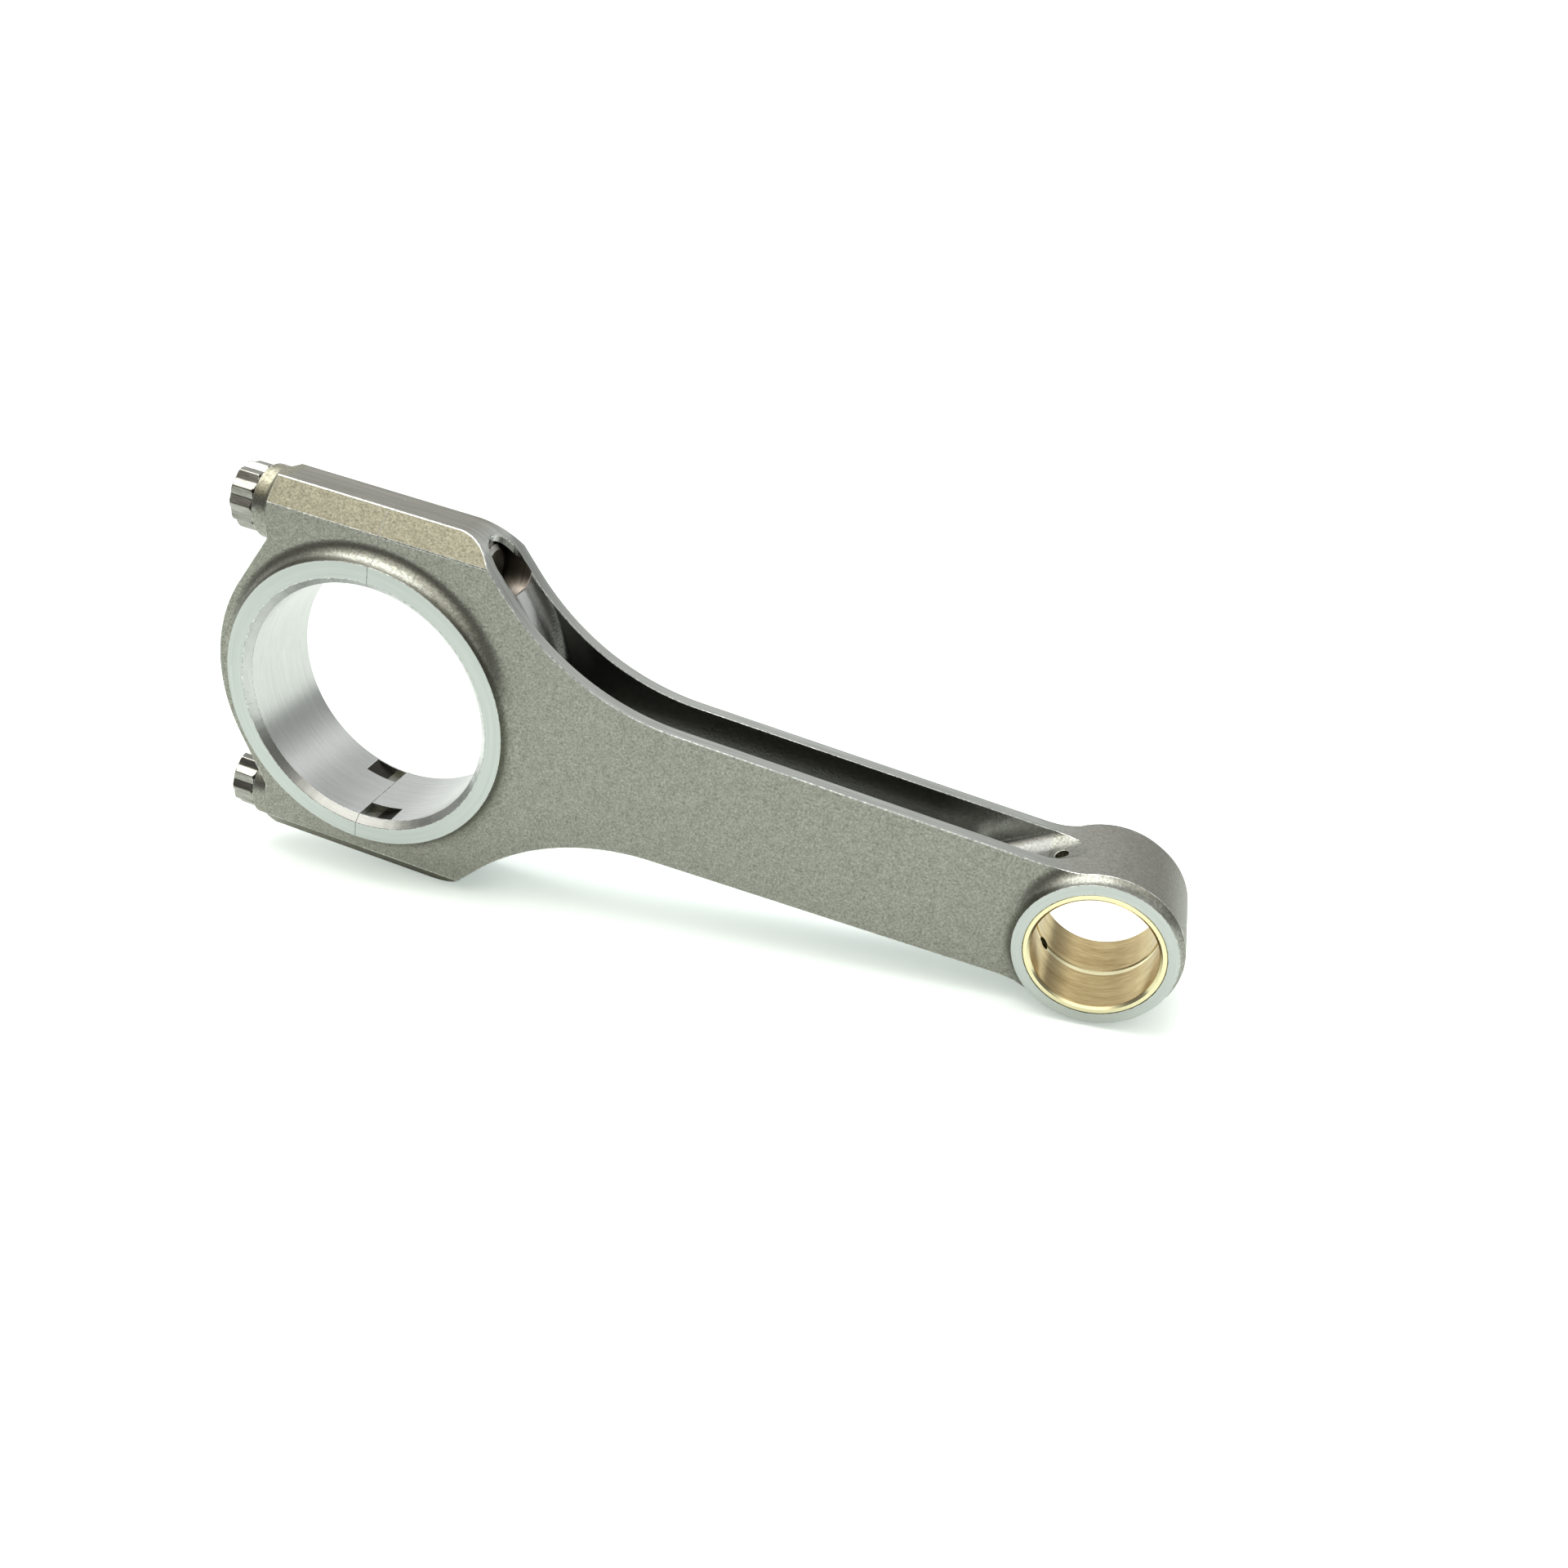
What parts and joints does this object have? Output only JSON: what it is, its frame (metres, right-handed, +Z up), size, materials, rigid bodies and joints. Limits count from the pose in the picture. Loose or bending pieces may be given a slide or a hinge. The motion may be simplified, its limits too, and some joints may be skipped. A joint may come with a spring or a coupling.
{
  "type": "connecting rod",
  "caption": "H-section connecting rod with a bolted bearing cap at the crank end and a bronze-bushed pin end.",
  "frame": {"origin": "on the resting surface, under the middle of the whole rod's box", "axes": "+X along the rod from the crank end to the pin end, +Y across the thickness, parallel to both bores, +Z up; the rod stands on its edge and its centre line falls 10.37 degrees towards the pin end"},
  "size_m": [0.1878, 0.0212, 0.0811],
  "materials": {
    "forged_steel": "shot-blasted grey with machined bright faces",
    "bolt_steel": "polished steel",
    "sleeve_steel": "ground steel",
    "bronze": "bored bronze"
  },
  "bodies": {
    "rod": {"rod_body": "forged_steel", "dowel_sleeve_upper": "sleeve_steel", "dowel_sleeve_lower": "sleeve_steel", "small_end_bush": "bronze"},
    "cap": {"bearing_cap": "forged_steel"},
    "upper_bolt": {"cap_bolt_upper": "bolt_steel"},
    "lower_bolt": {"cap_bolt_lower": "bolt_steel"}
  },
  "joints": [
    {"name": "cap_removal", "type": "slide", "parent": "rod", "child": "cap", "axis": [-0.9837, 0, 0.18], "range_m": [0, 0.06]},
    {"name": "upper_bolt_withdrawal", "type": "slide", "parent": "cap", "child": "upper_bolt", "axis": [-0.9837, 0, 0.18], "range_m": [0, 0.055]},
    {"name": "lower_bolt_withdrawal", "type": "slide", "parent": "cap", "child": "lower_bolt", "axis": [-0.9837, 0, 0.18], "range_m": [0, 0.055]}
  ]
}
